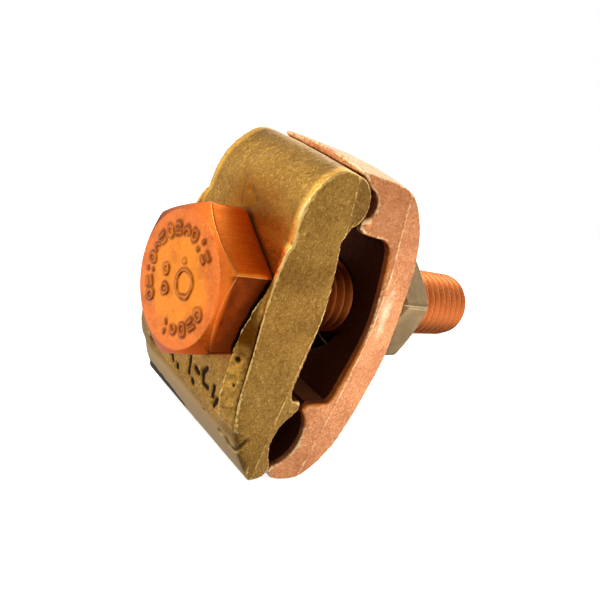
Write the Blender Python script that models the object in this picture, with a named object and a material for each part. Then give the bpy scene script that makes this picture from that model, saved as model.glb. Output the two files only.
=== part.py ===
"""Ground clamp: two cast bronze jaws that hinge at the heel and grip a conductor at the other end.

A captive hex bolt pulls them together. Frame: +X runs along the bolt from its head to its threaded
end, +Y along the conductor groove, +Z up towards the heel. The origin is the middle of the
conductor groove. The pieces are drawn in millimetres about the bolt's axis, with X = 0 on the
head's outer face, and placed in the frame in metres.
"""

import math

import bmesh
import bpy
from mathutils import Vector

MM = 0.001

# Bolt: 1/2-13 UNC, hexagon 3/4 in across flats, 2 1/4 in under the head
PITCH = 25.4 / 13
THREAD_R = 6.27
ROOT_R = THREAD_R - 0.5413 * PITCH
SHANK_R = 6.35
ACROSS_FLATS = 19.05
HEAD_H = 7.0
BOLT_L = 57.15
SHANK_L = 12.5
HEAD_FLAT_R = 9.0
CHAMFER_RISE = 0.565
END_CHAMFER = 1.1
SEAT_X = HEAD_H  # plane of the front jaw that the head bears on

# Nut and lock washer, stacked behind the rear jaw
LAND_X = 27.0  # flat land on the rear jaw, measured from the seat
STACK_GAP = 0.15
WASHER_T = 1.6
WASHER_R = (6.75, 10.4)
WASHER_SPLIT = 9.0  # degrees
SPLIT_AT = 90.0  # degrees from +Z towards +Y
NUT_H = 7.5
NUT_TURN = -10.0  # degrees from a corner pointing up
THREAD_CLEARANCE = 0.2
SEGMENTS = 24

# Jaws: both taper towards the heel, and both have draft away from a parting line
WIDTH_MID = 23.6
TAPER = 0.27
CROWN = 0.75  # how far the middle of the heel stands above its ends
CROWN_FLAT = 2.5  # half the length of the crown's flat middle
DRAFT = math.tan(math.radians(2.5))
CHANNEL_HALF = ACROSS_FLATS / 2 + 0.22
KNUCKLE = (8.1, 17.1, 3.45)  # x, z and radius of the front jaw's heel
FRONT_GROOVE = (11.4, -18.0, 4.75)
REAR_GROOVE = (8.0, -17.0, 4.9)
BOLT_HOLE_R = 6.75
SLOT_DROP = 2.9  # how far the rear jaw's bolt slot runs below a round hole
GROOVE_CENTRE = Vector((SEAT_X + 9.7, 0, -17.4))  # the frame's origin, seen from the bolt's axis


def clear_scene():
    for obj in list(bpy.data.objects):
        bpy.data.objects.remove(obj, do_unlink=True)


def material(name, colour, metallic, roughness):
    mat = bpy.data.materials.new(name)
    mat.use_nodes = True
    shader = mat.node_tree.nodes["Principled BSDF"]
    shader.inputs["Base Color"].default_value = (*colour, 1)
    shader.inputs["Metallic"].default_value = metallic
    shader.inputs["Roughness"].default_value = roughness
    mat.diffuse_color = (*colour, 1)
    return mat


def arc(centre, start, end, count):
    """Points on a circle (x, z, radius) from one angle to another, in degrees from +X to +Z."""
    x, z, r = centre
    angles = [math.radians(start + (end - start) * i / count) for i in range(count + 1)]
    return [(x + r * math.cos(a), z + r * math.sin(a)) for a in angles]


def rounded(points, per_span=3):
    """A Catmull-Rom curve through the points, for the soft outlines of a casting."""
    ends = [points[0]] + list(points) + [points[-1]]
    made = []
    for a, b, c, d in zip(ends, ends[1:], ends[2:], ends[3:]):
        for i in range(per_span):
            t = i / per_span
            made.append(tuple(
                0.5 * (2 * q + (r - p) * t + (2 * p - 5 * q + 4 * r - s) * t**2
                       + (3 * q - p - 3 * r + s) * t**3)
                for p, q, r, s in zip(a, b, c, d)))
    return made + [points[-1]]


def front_outline():
    """Side view of the front jaw, from the heel's crest down its outer face and back up inside."""
    crest = rounded([(7.6, 20.6), (5.2, 20.5), (3.4, 19.5), (1.6, 17.4), (0.6, 15.0), (0.3, 12.8)])
    rib = rounded([(0.4, 10.3), (-0.3, 9.2)], 1) + rounded(
        [(-0.7, 6.0), (-1.0, 1.0), (-1.0, -4.0), (-1.15, -9.5), (-0.9, -13.0), (-0.3, -15.6)])
    tip = rounded([(1.2, -19.0), (3.8, -22.8), (4.8, -23.4), (7.1, -23.2)], 2)
    groove = arc(FRONT_GROOVE, 216, 120, 12)
    tooth = [(10.2, -12.9), (10.3, -11.9), (9.9, -11.4), (8.6, -11.3), (7.9, -10.6)]
    inside = rounded([(7.7, -9.0), (8.9, -1.5), (9.3, 3.5), (8.7, 9.2), (8.2, 12.0)])
    return crest + rib + tip + [(7.9, -21.9)] + groove + tooth + inside + arc(KNUCKLE, -68, 92, 12)


def rear_outline():
    """Side view of the rear jaw, from the lip over the heel, down the inside and up its bowed back."""
    lip = [(16.3, 21.0), (8.9, 21.0), (8.8, 20.75), (9.8, 20.4)]
    socket = rounded([(11.3, 19.4), (12.8, 18.7), (13.4, 17.3), (12.9, 15.9), (11.45, 15.2)], 3)
    recess = [(11.5, 14.0), (12.6, 13.4)] + rounded(
        [(16.6, 13.3), (18.3, 12.5), (19.3, 10.2), (20.3, 3.0), (19.8, -3.0), (17.0, -11.4)], 3)
    tooth = [(16.2, -12.2), (12.1, -12.2), (11.4, -12.7)]
    groove = arc(REAR_GROOVE, 46, -72, 14)
    toe = rounded([(8.5, -21.95), (8.1, -22.7), (8.9, -24.0), (12.4, -24.8), (16.0, -24.3),
                   (20.0, -21.3), (22.0, -18.6), (24.3, -13.2), (26.2, -8.0)], 2)
    back = rounded([(LAND_X, -4.5), (LAND_X, 7.0), (26.5, 11.0), (25.0, 15.2), (22.6, 18.4),
                    (19.8, 20.4), (16.3, 21.0)], 3)
    return lip + socket + recess + tooth + groove + toe + back[:-1]


FRONT_PARTING = [(7.2, 26.0), (9.4, 4.0), (7.0, -9.0), (4.0, -27.0)]
REAR_PARTING = [(18.6, 26.0), (20.9, 8.0), (20.6, 0.0), (17.9, -12.5), (13.6, -27.0)]


def half_width(x, z, parting):
    """Half the jaw's width, greatest on the parting line and falling off by the draft."""
    for (xa, za), (xb, zb) in zip(parting, parting[1:]):
        if zb <= z <= za:
            line = xa + (xb - xa) * (z - za) / (zb - za)
    return (WIDTH_MID - TAPER * z) / 2 - DRAFT * abs(x - line)


def jaw_blank(outline, parting, crowned):
    """The outline as a solid whose two sides are creased along the parting line.

    crowned(x, z) says how much of the crown a point takes, from 0 to 1.
    """
    bm = bmesh.new()
    bm.faces.new([bm.verts.new((x, 0, z)) for x, z in outline])
    for (xa, za), (xb, zb) in zip(parting, parting[1:]):
        cut(bm, (xa, 0, za), (zb - za, 0, xa - xb))
    for _, z in parting[1:-1]:
        cut(bm, (0, 0, z), (0, 0, 1))
    near = list(bm.verts)
    grown = bmesh.ops.extrude_face_region(bm, geom=bm.faces[:], use_keep_orig=True)["geom"]
    far = [v for v in grown if isinstance(v, bmesh.types.BMVert)]
    for verts, side in ((near, -1), (far, 1)):
        for v in verts:
            v.co.y = side * half_width(v.co.x, v.co.z, parting)
    for y in (-6.5, -CROWN_FLAT, CROWN_FLAT, 6.5):
        cut(bm, (0, y, 0), (0, 1, 0))
    for v in bm.verts:
        v.co.z += CROWN * ramp(-(v.co.y**2), -(10.2**2), -(CROWN_FLAT**2)) * crowned(v.co.x, v.co.z)
    return bm


def ramp(value, low, high):
    return min(1.0, max(0.0, (value - low) / (high - low)))


def front_crowned(x, z):
    return 0.4 * ramp(z, 17.0, 20.4) * ramp(-x, -8.0, -6.7)


def rear_crowned(x, z):
    return ramp(z, 18.0, 20.9) if x > 15 or z > 20.9 else 0.0


def cut(bm, point, normal):
    geom = bm.verts[:] + bm.edges[:] + bm.faces[:]
    bmesh.ops.bisect_plane(bm, geom=geom, dist=1e-4, plane_co=point, plane_no=Vector(normal).normalized())


def cylinder(radius, x0, x1, segments=SEGMENTS, turn=0.0):
    bm = bmesh.new()
    rings = []
    for x in (x0, x1):
        angles = [math.radians(turn) + math.tau * i / segments for i in range(segments)]
        rings.append([bm.verts.new((x, radius * math.sin(a), radius * math.cos(a))) for a in angles])
    bridge(bm, rings)
    return bm


def turned(profile, segments=48):
    """A solid turned about X from (x, radius) pairs."""
    bm = bmesh.new()
    rings = []
    for x, r in profile:
        angles = [math.tau * i / segments for i in range(segments)]
        rings.append([bm.verts.new((x, r * math.sin(a), r * math.cos(a))) for a in angles])
    bridge(bm, rings)
    return bm


def bridge(bm, rings):
    count = len(rings[0])
    for low, high in zip(rings, rings[1:]):
        for i in range(count):
            j = (i + 1) % count
            bm.faces.new((low[i], low[j], high[j], high[i]))
    bm.faces.new(rings[0])
    bm.faces.new(rings[-1])


def box(low, high):
    bm = bmesh.new()
    bmesh.ops.create_cube(bm, size=1)
    for v in bm.verts:
        v.co = Vector((a + (b - a) * (c + 0.5) for a, b, c in zip(low, high, v.co)))
    return bm


def thread(x0, x1, limit, extra=0.0):
    """A right-hand threaded rod from x0 to x1. limit(x, r) trims the radius at its ends."""
    stations = [(-1 / 16, ROOT_R), (1 / 16, ROOT_R), (7 / 16, THREAD_R), (9 / 16, THREAD_R)]
    first = math.floor(x0 / PITCH) - 2
    turns = math.ceil(x1 / PITCH) + 2 - first
    bm = bmesh.new()
    helix = []
    for k in range(turns * SEGMENTS + 1):
        angle = math.tau * k / SEGMENTS
        row = []
        for along, radius in stations:
            x = PITCH * (first + k / SEGMENTS + along)
            r = limit(x, radius + extra)
            row.append(bm.verts.new((x, -r * math.sin(angle), r * math.cos(angle))))
        helix.append(row)
    for k in range(len(helix) - 1 - SEGMENTS):
        here = helix[k] + [helix[k + SEGMENTS][0]]
        after = helix[k + 1] + [helix[k + 1 + SEGMENTS][0]]
        for m in range(4):
            bm.faces.new((here[m], here[m + 1], after[m + 1], after[m]))
    for x, keep in ((x0, -1), (x1, 1)):
        bmesh.ops.bisect_plane(bm, geom=bm.verts[:] + bm.edges[:] + bm.faces[:], dist=1e-5,
                               plane_co=(x, 0, 0), plane_no=(keep, 0, 0), clear_outer=True)
    bmesh.ops.holes_fill(bm, edges=[e for e in bm.edges if e.is_boundary], sides=0)
    return bm


def split_ring(inner, outer, x0, x1, gap, slant=2.0, segments=40):
    """A flat ring with a slanted split, centred at SPLIT_AT."""
    bm = bmesh.new()
    rows = []
    for i in range(segments + 1):
        row = []
        for x, lean in ((x0, -1), (x1, 1)):
            span = 360 - gap
            a = math.radians(SPLIT_AT + gap / 2 + slant * lean + span * i / segments)
            for r in ((inner, outer) if lean < 0 else (outer, inner)):
                row.append(bm.verts.new((x, r * math.sin(a), r * math.cos(a))))
        rows.append(row)
    for a, b in zip(rows, rows[1:]):
        for m in range(4):
            n = (m + 1) % 4
            bm.faces.new((a[m], a[n], b[n], b[m]))
    bm.faces.new(rows[0])
    bm.faces.new(rows[-1])
    return bm


def add(name, bm, mat=None, origin=(0, 0, 0)):
    """The mesh as an object, with its own origin at a point given like the mesh, in millimetres."""
    bmesh.ops.recalc_face_normals(bm, faces=bm.faces)
    bmesh.ops.translate(bm, verts=bm.verts, vec=-Vector(origin))
    bmesh.ops.scale(bm, verts=bm.verts, vec=(MM, MM, MM))
    mesh = bpy.data.meshes.new(name)
    bm.to_mesh(mesh)
    bm.free()
    obj = bpy.data.objects.new(name, mesh)
    bpy.context.scene.collection.objects.link(obj)
    obj.location = (Vector(origin) - GROOVE_CENTRE) * MM
    if mat:
        mesh.materials.append(mat)
    else:
        obj.hide_render = True
        obj.display_type = "WIRE"
    return obj


def shift(bm, x):
    bmesh.ops.translate(bm, verts=bm.verts, vec=(x, 0, 0))
    return bm


def boolean(obj, other, operation="DIFFERENCE"):
    mod = obj.modifiers.new(other.name, "BOOLEAN")
    mod.operation = operation
    mod.solver = "EXACT"
    mod.object = other


def bevel(obj, width, segments=2, angle=40):
    mod = obj.modifiers.new("edge", "BEVEL")
    mod.width = width * MM
    mod.segments = segments
    mod.limit_method = "ANGLE"
    mod.angle_limit = math.radians(angle)


def smooth(obj, angle=32):
    obj.data.shade_smooth()
    obj.data.set_sharp_from_angle(angle=math.radians(angle))


def front_jaw(mat):
    """Holds the bolt head between two ribs, so the head can't turn."""
    jaw = add("front_jaw", shift(jaw_blank(front_outline(), FRONT_PARTING, front_crowned), SEAT_X), mat)
    bevel(jaw, 0.22)
    near = [(-0.1, 8.4), (-0.4, 6.4), (-0.7, 3.2), (-0.9, 1.0), (-1.3, -3.1), (-1.5, -7.4), (-1.4, -10.2),
            (-1.2, -12.4), (-0.4, -15.1), (0.3, -16.5)]
    far = [(0.0, 8.4), (-1.0, 6.4), (-1.7, 3.2), (-2.1, 1.0), (-2.4, -3.1), (-2.6, -7.4), (-2.4, -10.2),
           (-1.9, -12.4), (-0.7, -15.1), (0.2, -16.5)]
    for name, side, outer, inset in (("add_bead_near", -1, near, 0.8), ("add_bead_far", 1, far, 0.25)):
        boolean(jaw, add(name, shift(rib_bead(side, outer, inset), SEAT_X)), "UNION")
    boolean(jaw, add("cut_head_channel", box((-20, -CHANNEL_HALF, -40), (SEAT_X, CHANNEL_HALF, 40))))
    boolean(jaw, add("cut_rib_groove", rib_groove()))
    boolean(jaw, add("cut_front_hole", cylinder(BOLT_HOLE_R, -5, 40, 32)))
    smooth(jaw)
    return jaw


def rib_bead(side, outer, inset):
    """The raised bead on a rib: highest along the channel, sloping down to its outer edge.

    outer holds (x, z) along that edge, which runs at the given distance inside the jaw's side.
    """
    inner = [(-0.3, 8.6), (-1.4, 6.6), (-2.1, 3.3), (-2.7, 1.0), (-2.8, -3.1), (-2.4, -7.6), (-2.0, -10.4),
             (-1.5, -12.5), (-0.4, -15.3), (0.2, -16.8)]
    rows = []
    for (xi, zi), (xo, zo) in zip(rounded(inner, 2), rounded(outer, 2)):
        yo = (WIDTH_MID - TAPER * zo) / 2 - 0.43 - inset
        rows.append([(xi - 0.5, side * (CHANNEL_HALF - 0.5), zi), (xo, side * yo, zo),
                     (2.0, side * yo, zo), (2.0, side * (CHANNEL_HALF - 0.5), zi)])
    return loft(rows)


def rib_groove():
    """A narrow V between the near rib's bead and the edge of the jaw's side."""
    rows = []
    for x, z, depth in ((-0.85, 3.0, -0.1), (-1.0, 0.5, 0.3), (-1.0, -4.0, 0.5), (-1.15, -9.0, 0.5),
                        (-1.0, -12.0, 0.35), (-0.75, -14.2, -0.1)):
        edge = (WIDTH_MID - TAPER * z) / 2 - 0.43
        rows.append([(SEAT_X + x + depth, 0.5 - edge, z), (SEAT_X + x - 0.8, 0.95 - edge, z),
                     (SEAT_X + x - 0.8, -0.05 - edge, z)])
    return loft(rows)


def loft(rows):
    """A solid through closed outlines that all have the same number of points."""
    bm = bmesh.new()
    bridge(bm, [[bm.verts.new(point) for point in row] for row in rows])
    return bm


def rear_jaw(mat):
    """Swings on the front jaw's knuckle. Its bolt slot leaves room for the swing."""
    pivot = (SEAT_X + KNUCKLE[0], 0, KNUCKLE[1])
    jaw = add("rear_jaw", shift(jaw_blank(rear_outline(), REAR_PARTING, rear_crowned), SEAT_X), mat, pivot)
    bevel(jaw, 0.35)
    slot = cylinder(BOLT_HOLE_R, SEAT_X + 12, SEAT_X + 40, 32)
    for v in slot.verts:
        if v.co.z < 0.01:
            v.co.z -= SLOT_DROP
    boolean(jaw, add("cut_rear_slot", slot))
    smooth(jaw)
    return jaw


def hex_solid(x0, x1, turn, chamfers):
    """A hexagonal prism with its corners turned off at the given ends."""
    corner = ACROSS_FLATS / 2 / math.cos(math.pi / 6)
    big = corner + 0.4
    drop = (big - HEAD_FLAT_R) * CHAMFER_RISE
    start = [(x0, HEAD_FLAT_R), (x0 + drop, big)] if "start" in chamfers else [(x0, big)]
    end = [(x1 - drop, big), (x1, HEAD_FLAT_R)] if "end" in chamfers else [(x1, big)]
    return cylinder(corner, x0 - 1, x1 + 1, 6, turn), turned(start + end)


def hex_bolt(mat):
    blank, trim = hex_solid(0, HEAD_H - 0.1, 0, ("start",))
    bolt = add("hex_bolt", trim, mat)
    boolean(bolt, add("trim_head_hexagon", blank), "INTERSECT")
    boolean(bolt, add("add_shank", cylinder(SHANK_R, 3, SEAT_X + SHANK_L, SEGMENTS)), "UNION")
    end = SEAT_X + BOLT_L

    def trimmed(x, r):
        return min(r, max(ROOT_R - 0.3, THREAD_R - (x - end + END_CHAMFER) * 1.0))

    rod = thread(SEAT_X + SHANK_L - 1.5, end, trimmed)
    boolean(bolt, add("add_thread", rod), "UNION")
    smooth(bolt, 28)
    return bolt


def hex_nut(mat, x0):
    x1 = x0 + NUT_H
    blank, trim = hex_solid(x0, x1, NUT_TURN, ("start", "end"))
    nut = add("hex_nut", trim, mat, (x0, 0, 0))
    boolean(nut, add("trim_nut_hexagon", blank), "INTERSECT")

    def countersunk(x, r):
        mouth = THREAD_R + 0.75
        return max(r, mouth - max(0, min(x - x0, x1 - x)))

    boolean(nut, add("cut_nut_thread", thread(x0 - 0.8, x1 + 0.8, countersunk, THREAD_CLEARANCE)))
    smooth(nut, 28)
    return nut


def build():
    clear_scene()
    olive = material("olive_bronze", (0.30, 0.20, 0.075), 1.0, 0.42)
    copper = material("copper_bronze", (0.72, 0.33, 0.17), 1.0, 0.45)
    bolt_mat = material("silicon_bronze", (0.70, 0.20, 0.06), 1.0, 0.32)
    nut_mat = material("nut_bronze", (0.33, 0.24, 0.12), 1.0, 0.38)
    front_jaw(olive)
    rear_jaw(copper)
    hex_bolt(bolt_mat)
    washer_x = SEAT_X + LAND_X + STACK_GAP
    ring = split_ring(*WASHER_R, washer_x, washer_x + WASHER_T, WASHER_SPLIT)
    smooth(add("lock_washer", ring, nut_mat, (washer_x, 0, 0)))
    hex_nut(nut_mat, washer_x + WASHER_T + STACK_GAP)


build()
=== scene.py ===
"""Looks of the ground clamp: two cast bronze jaws, a hex bolt, a lock washer and a nut.

Shapes are drawn in millimetres about the bolt's axis, with X = 0 on the plane that the bolt head
bears on, +X towards the threaded end and +Z towards the heel, and then placed on the CAD frame.
"""

import math

import bmesh
import bpy
import numpy as np
from mathutils import Matrix, Vector


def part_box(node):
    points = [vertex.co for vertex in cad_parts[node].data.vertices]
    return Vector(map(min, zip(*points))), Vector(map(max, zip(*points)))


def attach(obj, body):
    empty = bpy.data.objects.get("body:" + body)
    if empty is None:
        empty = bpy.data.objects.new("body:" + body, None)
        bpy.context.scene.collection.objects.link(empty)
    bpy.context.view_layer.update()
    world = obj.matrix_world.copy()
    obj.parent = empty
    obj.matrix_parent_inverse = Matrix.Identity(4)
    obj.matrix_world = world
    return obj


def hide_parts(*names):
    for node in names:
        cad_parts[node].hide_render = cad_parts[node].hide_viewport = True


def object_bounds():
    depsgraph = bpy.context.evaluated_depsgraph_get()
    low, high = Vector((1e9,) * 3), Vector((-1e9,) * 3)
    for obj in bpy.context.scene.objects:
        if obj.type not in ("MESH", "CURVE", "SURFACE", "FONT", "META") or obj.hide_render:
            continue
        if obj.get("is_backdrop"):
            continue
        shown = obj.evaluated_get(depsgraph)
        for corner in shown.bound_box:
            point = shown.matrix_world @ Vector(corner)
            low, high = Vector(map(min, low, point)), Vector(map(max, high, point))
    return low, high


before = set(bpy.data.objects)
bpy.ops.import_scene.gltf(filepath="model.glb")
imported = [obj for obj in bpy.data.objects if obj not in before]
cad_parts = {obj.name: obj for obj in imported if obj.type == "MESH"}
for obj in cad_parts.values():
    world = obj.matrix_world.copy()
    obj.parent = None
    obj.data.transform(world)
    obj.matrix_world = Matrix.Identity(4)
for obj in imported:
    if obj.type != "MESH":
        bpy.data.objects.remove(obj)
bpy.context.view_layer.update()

MM = 0.001
HEAD_H = 7.0
bolt_low, bolt_high = (np.array(corner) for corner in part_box("hex_bolt"))
SEAT = np.array([bolt_low[0] + HEAD_H * MM, *(bolt_low + bolt_high)[1:] / 2])
BOLT_END = (bolt_high[0] - SEAT[0]) / MM

# Bolt and nut: a 1/2-13 thread on a shank half an inch thick, and hexagons 3/4 in across flats.
# A hexagon repeats every SIXTH of a turn, in radians.
PITCH = 25.4 / 13
THREAD_R = 6.27
ROOT_R = THREAD_R - 0.5413 * PITCH
SHANK_R = 6.35
THREAD_START = 11.0
ACROSS_FLATS = 19.05
SIXTH = math.pi / 3
NUT_TURN = math.radians(-10)

# A hexagon's end is flat out to FLAT_R, and beyond it falls back by CHAMFER for each millimetre.
# The head's face leaves room for the raised marks, and its underside just clears the jaw.
FLAT_R = 9.0
CHAMFER = 0.565
FACE_X = -HEAD_H + 0.2
CHAMFER_X = FACE_X + 0.05
UNDERSIDE_X = -0.1
MARK_RISE = 0.19
MARK_RADIUS, MARK_WIDTH, MARK_HEIGHT = 6.5, 1.15, 1.35

# The washer bears on the rear jaw at LAND_X, and its boss grows out of the casting from ROOT_X.
LAND_X, ROOT_X = 27.0, 21.0
WASHER_GAP = 0.05
WASHER_INNER, WASHER_OUTER = 6.75, 10.4
# Within this radius the washer is painted dark, as shade.
WASHER_SHADE_R = 10.2

# Castings: width at the bolt, width lost per millimetre of height, and (x, z) down the mould lines.
WIDTH_MID, TAPER = 23.6, 0.27
FRONT_PARTING = [(7.2, 26.0), (9.4, 4.0), (7.0, -9.0), (4.0, -27.0)]
REAR_PARTING = [(18.6, 26.0), (20.9, 8.0), (20.6, 0.0), (17.9, -12.5), (13.6, -27.0)]

# How the castings are remeshed: points closer than WELD metres are joined, then the grid's size
# in millimetres and the number of rounding passes. EDGE_GAIN turns curvature into wear.
WELD = 2e-6
VOXEL = 0.19
ROUNDING_PASSES = 3
EDGE_GAIN, EDGE_WIDTH = 26.0, 2
CAST_ROUGHNESS = 0.48


# ---------------------------------------------------------------- numbers


def lattice(cells, seed):
    """A repeatable random value from -1 to 1 for each whole-numbered cell, by integer hashing."""
    x, y, z = (cells[:, i].astype(np.int64) for i in range(3))
    n = (x * 374761393 + y * 668265263 + z * 1440662683 + seed * 97531) & 0xFFFFFFFF
    n = ((n ^ (n >> 13)) * 1274126177) & 0xFFFFFFFF
    n = ((n ^ (n >> 16)) * 2246822519) & 0xFFFFFFFF
    return ((n >> 8) & 0xFFFF) / 32767.5 - 1


def noise(points, size, seed):
    """Smooth noise from -1 to 1 whose lumps are about the given size."""
    scaled = points / size
    low = np.floor(scaled)
    t = scaled - low
    t = t * t * (3 - 2 * t)
    total = 0
    for corner in range(8):
        step = np.array([corner & 1, corner >> 1 & 1, corner >> 2 & 1])
        weight = np.prod(np.where(step, t, 1 - t), axis=1)
        total = total + weight * lattice(low + step, seed)
    return total


def ramp(value, low, high):
    """0 below low, 1 above high and smooth between. low may be the larger one."""
    t = np.clip((value - low) / (high - low), 0, 1)
    return t * t * (3 - 2 * t)


def parting_x(path, z):
    """X of a parting line, given as (x, z) points from the top down, at each z."""
    xs, zs = zip(*reversed(path))
    return np.interp(z, zs, xs)


def in_millimetres(corners):
    """Corners of a box in metres as arrays in millimetres from SEAT."""
    return [(np.array(corner) - SEAT) / MM for corner in corners]


def from_axis(points):
    """Distance of each point from the bolt's axis."""
    return np.hypot(points[:, 1], points[:, 2])


def to_segment(u, v, a, b):
    """Distance in the plane from points (u, v) to the segment from a to b."""
    ab = (b[0] - a[0], b[1] - a[1])
    length = max(ab[0] ** 2 + ab[1] ** 2, 1e-9)
    t = np.clip(((u - a[0]) * ab[0] + (v - a[1]) * ab[1]) / length, 0, 1)
    return np.hypot(u - a[0] - t * ab[0], v - a[1] - t * ab[1])


def to_path(u, v, path):
    """Distance in the plane from points (u, v) to a path."""
    return np.min([to_segment(u, v, a, b) for a, b in zip(path, path[1:])], axis=0)


# ---------------------------------------------------------------- meshes


def link(name, mesh):
    """A new object in the scene."""
    obj = bpy.data.objects.new(name, mesh)
    bpy.context.scene.collection.objects.link(obj)
    return obj


def made(name, points, faces):
    """A smooth-shaded object from points in millimetres and a list of faces."""
    mesh = bpy.data.meshes.new(name)
    mesh.from_pydata((points * MM + SEAT).tolist(), [], [list(map(int, f)) for f in faces])
    bm = bmesh.new()
    bm.from_mesh(mesh)
    bmesh.ops.recalc_face_normals(bm, faces=bm.faces)
    bm.to_mesh(mesh)
    bm.free()
    mesh.shade_smooth()
    return link(name, mesh)


def read(mesh):
    """Points in millimetres, and normals."""
    points = np.empty(len(mesh.vertices) * 3)
    mesh.vertices.foreach_get("co", points)
    normals = np.empty(len(mesh.vertices) * 3)
    mesh.vertices.foreach_get("normal", normals)
    return (points.reshape(-1, 3) - SEAT) / MM, normals.reshape(-1, 3)


def write(mesh, points):
    """Moves a mesh's points, given in millimetres."""
    mesh.vertices.foreach_set("co", (points * MM + SEAT).ravel())
    mesh.update()


def store(mesh, name, values):
    """Saves a number per point for the materials to read."""
    attribute = mesh.attributes.get(name) or mesh.attributes.new(name, "FLOAT", "POINT")
    attribute.data.foreach_set("value", np.asarray(values, np.float32))


def neighbours(mesh):
    """A function that averages a value over each point's neighbours."""
    pairs = np.empty(len(mesh.edges) * 2, np.int64)
    mesh.edges.foreach_get("vertices", pairs)
    a, b = pairs.reshape(-1, 2).T
    count = len(mesh.vertices)
    degree = np.maximum(np.bincount(a, minlength=count) + np.bincount(b, minlength=count), 1)

    def mean(values):
        if values.ndim == 2:
            return np.stack([mean(column) for column in values.T], axis=1)
        total = np.bincount(a, values[b], count) + np.bincount(b, values[a], count)
        return total / degree

    return mean


def paint_edges(obj, extra=0.0, calm=0.0, gain=EDGE_GAIN, widen=EDGE_WIDTH):
    """Stores how convex ("wear") and how hollow ("crevice") each place is, from 0 to 1.

    extra is wear and painted glint to add, as given, and calm is how much of the wear to take away.
    widen is how many times the result spreads to its neighbours. Hollow places stand for grime and
    painted shade.
    """
    points, normals = read(obj.data)
    mean = neighbours(obj.data)
    bend = -((mean(points) - points) * normals).sum(axis=1)
    for _ in range(widen):
        bend = 0.5 * bend + 0.5 * mean(bend)
    store(obj.data, "wear_and_glint", np.clip(np.maximum(bend * gain, extra) * (1 - calm), 0, 1))
    store(obj.data, "crevice_and_shade", np.clip(-bend * gain - extra, 0, 1))


def ring_faces(rings, around):
    """Four-sided faces between neighbouring rings of points."""
    faces = []
    for r in range(rings - 1):
        low, high = r * around, (r + 1) * around
        for a in range(around):
            b = (a + 1) % around
            faces.append((low + a, low + b, high + b, high + a))
    return faces


def turned(name, rings, start=None, end=None, closed=False):
    """A solid from rings of points around X.

    start and end are middle points that close it. A closed one joins its last ring to its first.
    """
    rings = np.asarray(rings)
    count, around, _ = rings.shape
    points = list(rings.reshape(-1, 3))
    faces = ring_faces(count, around)
    if closed:
        last = (count - 1) * around
        faces += [(last + a, last + (a + 1) % around, (a + 1) % around, a) for a in range(around)]
    for middle, row in ((start, 0), (end, count - 1)):
        if middle is not None:
            points.append(np.array(middle, float))
            centre = len(points) - 1
            faces += [(centre, row * around + a, row * around + (a + 1) % around)
                      for a in range(around)]
    return made(name, np.array(points), faces)


def ring(x, radius, angles):
    """Points at angles measured from +Z towards +Y."""
    x = np.broadcast_to(x, angles.shape)
    return np.stack([x, radius * np.sin(angles), radius * np.cos(angles)], axis=1)


def from_corner(angles, turn):
    """Angle to the nearest corner of a hexagon that has a corner at the given turn."""
    return np.abs((angles - turn + SIXTH / 2) % SIXTH - SIXTH / 2)


def hex_radius(angles, turn=0.0):
    """Radius of a hexagon with a corner at the given turn, its corners slightly rounded."""
    sector = from_corner(angles, turn)
    radius = ACROSS_FLATS / 2 / np.cos(SIXTH / 2 - sector)
    return radius - 0.175 * ramp(sector, 0.05, 0.0) ** 2


# ---------------------------------------------------------------- bolt


def glyph(kind, u, v):
    """Distance to one generic raised glyph, about 1.5 mm tall, in its own axes."""
    if kind == "ring":
        return np.abs(np.hypot(u, v) - 0.5)
    if kind == "dots":
        return np.minimum(np.hypot(u, v - 0.5), np.hypot(u, v + 0.5))
    if kind == "bars":
        return np.minimum(to_segment(u, v, (-0.42, 0.38), (0.42, 0.38)),
                          to_segment(u, v, (-0.42, -0.38), (0.42, -0.38)))
    if kind == "arc":
        return np.hypot(np.abs(np.hypot(u, v + 0.25) - 0.5), np.maximum(-v - 0.2, 0))
    raise ValueError(kind)


def head_marks(y, z):
    """Distance to the raised marks on the head: three arcs round an off-centre ring."""
    place = np.stack([np.zeros(y.shape), y, z], axis=1)
    y, z = y + 0.17 * noise(place, 1.1, 81), z + 0.17 * noise(place, 1.1, 82)
    nearest = np.full(y.shape, 9.0)
    # Each arc: degrees of its first and last mark, from the heel towards +Y, and the marks.
    arcs = (
        (42, -40, ("ring", "bars", "arc", "ring", "dots", "bars")),
        (60, 134, ("bars", "arc", "ring", "dots", "bars", "ring")),
        (-174, -104, ("dots", "arc", "ring", "bars", "ring")),
    )
    for first, last, kinds in arcs:
        for kind, degrees in zip(kinds, np.linspace(first, last, len(kinds))):
            a = math.radians(degrees)
            radial = y * math.sin(a) + z * math.cos(a)
            across = y * math.cos(a) - z * math.sin(a)
            u, v = across / MARK_WIDTH, (radial - MARK_RADIUS) / MARK_HEIGHT
            nearest = np.minimum(nearest, MARK_WIDTH * glyph(kind, u, v))
    # The off-centre ring, a dot above it and two small rings beside it.
    nearest = np.minimum(nearest, np.abs(np.hypot(y + 1.7, z - 0.3) - 1.75))
    nearest = np.minimum(nearest, np.hypot(y + 0.4, z - 2.9) - 0.15)
    for cy, cz in ((2.9, 0.2), (1.9, -2.2)):
        nearest = np.minimum(nearest, np.abs(np.hypot(y - cy, z - cz) - 0.62))
    return nearest


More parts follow.
